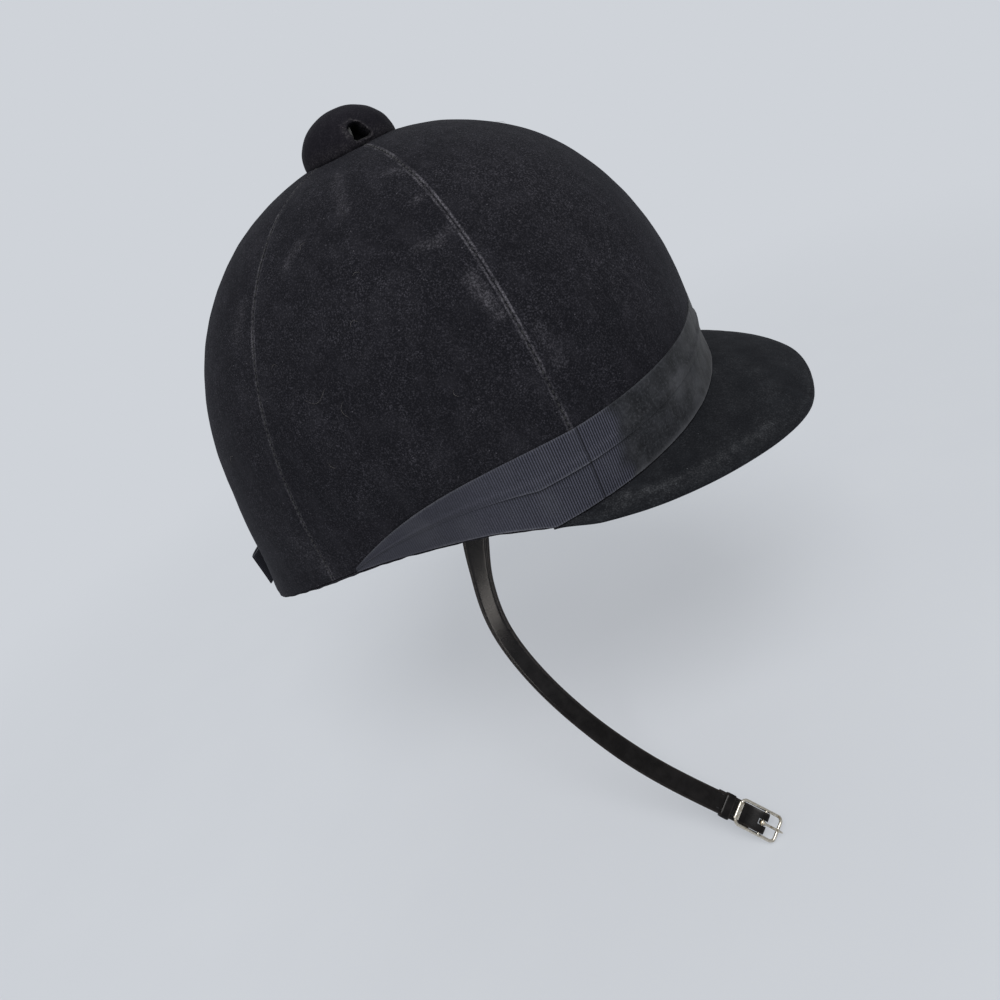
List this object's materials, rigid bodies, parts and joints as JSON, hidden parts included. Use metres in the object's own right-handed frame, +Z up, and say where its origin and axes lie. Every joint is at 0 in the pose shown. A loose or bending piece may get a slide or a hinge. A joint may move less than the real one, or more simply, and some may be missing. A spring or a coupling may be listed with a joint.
{
  "type": "riding cap",
  "caption": "Velvet covered riding cap with a covered button, a stiff peak, a ribbon band with a flat bow and a two part leather chin strap with a small buckle.",
  "frame": {"origin": "middle of the head opening, between the side edges of the cap", "axes": "+X forward over the peak, +Y to the wearer's left, +Z up through the button"},
  "size_m": [0.279, 0.2146, 0.3362],
  "materials": {
    "shell": "dark resin bonded shell and peak board",
    "velvet": "black short pile velvet, worn and dusty at the seams",
    "cork": "pressed cork",
    "satin": "quilted satin",
    "foam": "soft foam",
    "headband_leather": "brown leather, satin sheen",
    "under_cloth": "plain black cloth",
    "ribbon": "black grosgrain ribbon, ribbed",
    "button_wood": "turned wood",
    "steel": "plain steel",
    "nickel": "nickel plate, slightly tarnished",
    "strap_leather": "black polished leather"
  },
  "bodies": {
    "cap": {"hard_shell": "shell", "velvet_front": "velvet", "velvet_left": "velvet", "velvet_rear": "velvet", "velvet_right": "velvet", "front_facing": "velvet", "cork_liner": "cork", "satin_lining": "satin", "crown_pad": "satin", "foam_front": "foam", "foam_rear": "foam", "sweatband": "headband_leather", "rim_binding": "velvet", "peak_core": "shell", "peak_top_cover": "velvet", "peak_under_cover": "under_cloth", "peak_edge": "velvet", "ribbon_lower": "ribbon", "ribbon_upper": "ribbon", "bow_loops": "ribbon", "bow_knot": "ribbon", "button_core": "button_wood", "button_cover": "velvet", "button_bolt": "steel", "button_washer": "steel", "button_nut": "steel", "strap_rivets": "nickel", "strap_washers": "nickel"},
    "buckle_strap": {"buckle_strap": "strap_leather", "strap_keeper": "strap_leather"},
    "buckle_frame": {"buckle_frame": "nickel"},
    "buckle_tongue": {"buckle_tongue": "nickel"},
    "hole_strap": {"hole_strap": "strap_leather"}
  },
  "joints": [
    {"name": "buckle_strap_swing", "type": "hinge", "parent": "cap", "child": "buckle_strap", "pos_m": [0.0246, -0.08701, 0.027], "axis": [0, 1, 0], "range_deg": [-20, 25]},
    {"name": "hole_strap_swing", "type": "hinge", "parent": "cap", "child": "hole_strap", "pos_m": [0.0246, 0.08701, 0.027], "axis": [0, 1, 0], "range_deg": [-25, 25]},
    {"name": "buckle_frame_pivot", "type": "hinge", "parent": "buckle_strap", "child": "buckle_frame", "pos_m": [0.0893, -0.10781, -0.1558], "axis": [0.5283, 0.7302, 0.4333], "range_deg": [0, 40]},
    {"name": "buckle_tongue_pivot", "type": "hinge", "parent": "buckle_frame", "child": "buckle_tongue", "pos_m": [0.0893, -0.10781, -0.1558], "axis": [-0.5283, -0.7302, -0.4333], "range_deg": [0, 85]}
  ]
}
